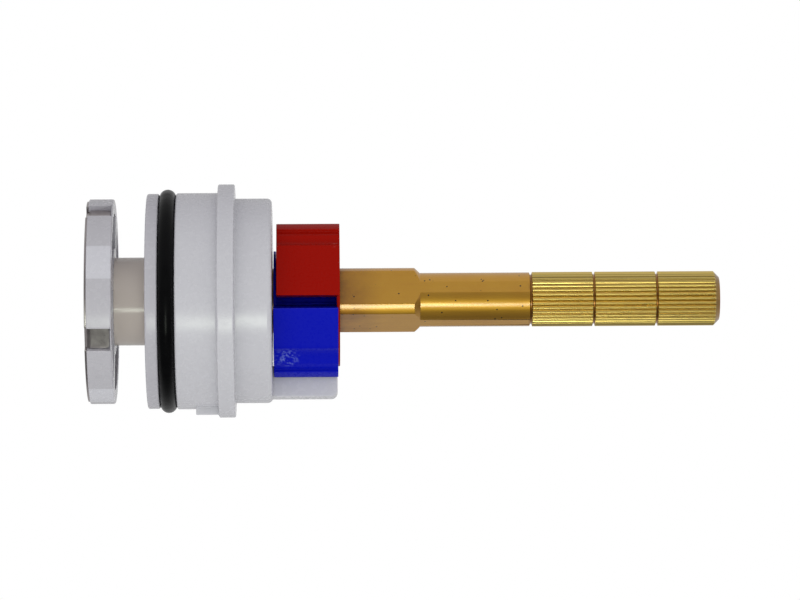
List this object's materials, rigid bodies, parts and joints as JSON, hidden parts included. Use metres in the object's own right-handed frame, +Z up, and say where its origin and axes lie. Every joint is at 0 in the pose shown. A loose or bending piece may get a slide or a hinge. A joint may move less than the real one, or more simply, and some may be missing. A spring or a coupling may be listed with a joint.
{
  "type": "faucet cartridge",
  "caption": "Rotary mixing cartridge: white sealed body, ported disc behind it, and a long brass stem with red and blue limit stops.",
  "frame": {"origin": "on the stem's axis, at the front face of the body's flange, where the nose begins", "axes": "+X along the stem towards the handle, +Z up, with the key and the stop block at the bottom"},
  "size_m": [0.1034, 0.0382, 0.0382],
  "materials": {
    "white_acetal": "moulded, satin, slightly translucent",
    "grey_acetal": "moulded, satin",
    "black_rubber": "greased, smooth",
    "brass": "turned, with tarnish specks",
    "stainless": "stamped, bright",
    "clear_ptfe": "skived, matt",
    "fibre_washer": "pressed fibre",
    "blue_plastic": "moulded, gloss",
    "red_plastic": "moulded, gloss"
  },
  "bodies": {
    "body": {"body_shell": "white_acetal", "lower_cap": "white_acetal", "body_seal": "black_rubber"},
    "rotor": {"stem": "brass", "spindle": "grey_acetal", "stem_pin": "stainless", "rotor_disc": "white_acetal", "face_plate": "stainless", "disc_screw": "stainless", "screw_washer": "fibre_washer", "retaining_clip": "stainless", "clip_washer": "clear_ptfe", "thrust_washer": "clear_ptfe", "spindle_seal_inner": "black_rubber", "spindle_seal_outer": "black_rubber"},
    "cold_limit": {"blue_stop": "blue_plastic"},
    "hot_limit": {"red_stop": "red_plastic"}
  },
  "joints": [
    {"name": "stem_turn", "type": "hinge", "parent": "body", "child": "rotor", "pos_m": [0, 0, 0], "axis": [-1, 0, 0], "range_deg": [0, 178]},
    {"name": "blue_stop_pull", "type": "slide", "parent": "rotor", "child": "cold_limit", "axis": [1, 0, 0], "range_m": [0, 0.024]},
    {"name": "red_stop_pull", "type": "slide", "parent": "cold_limit", "child": "hot_limit", "axis": [1, 0, 0], "range_m": [0, 0.012]}
  ]
}
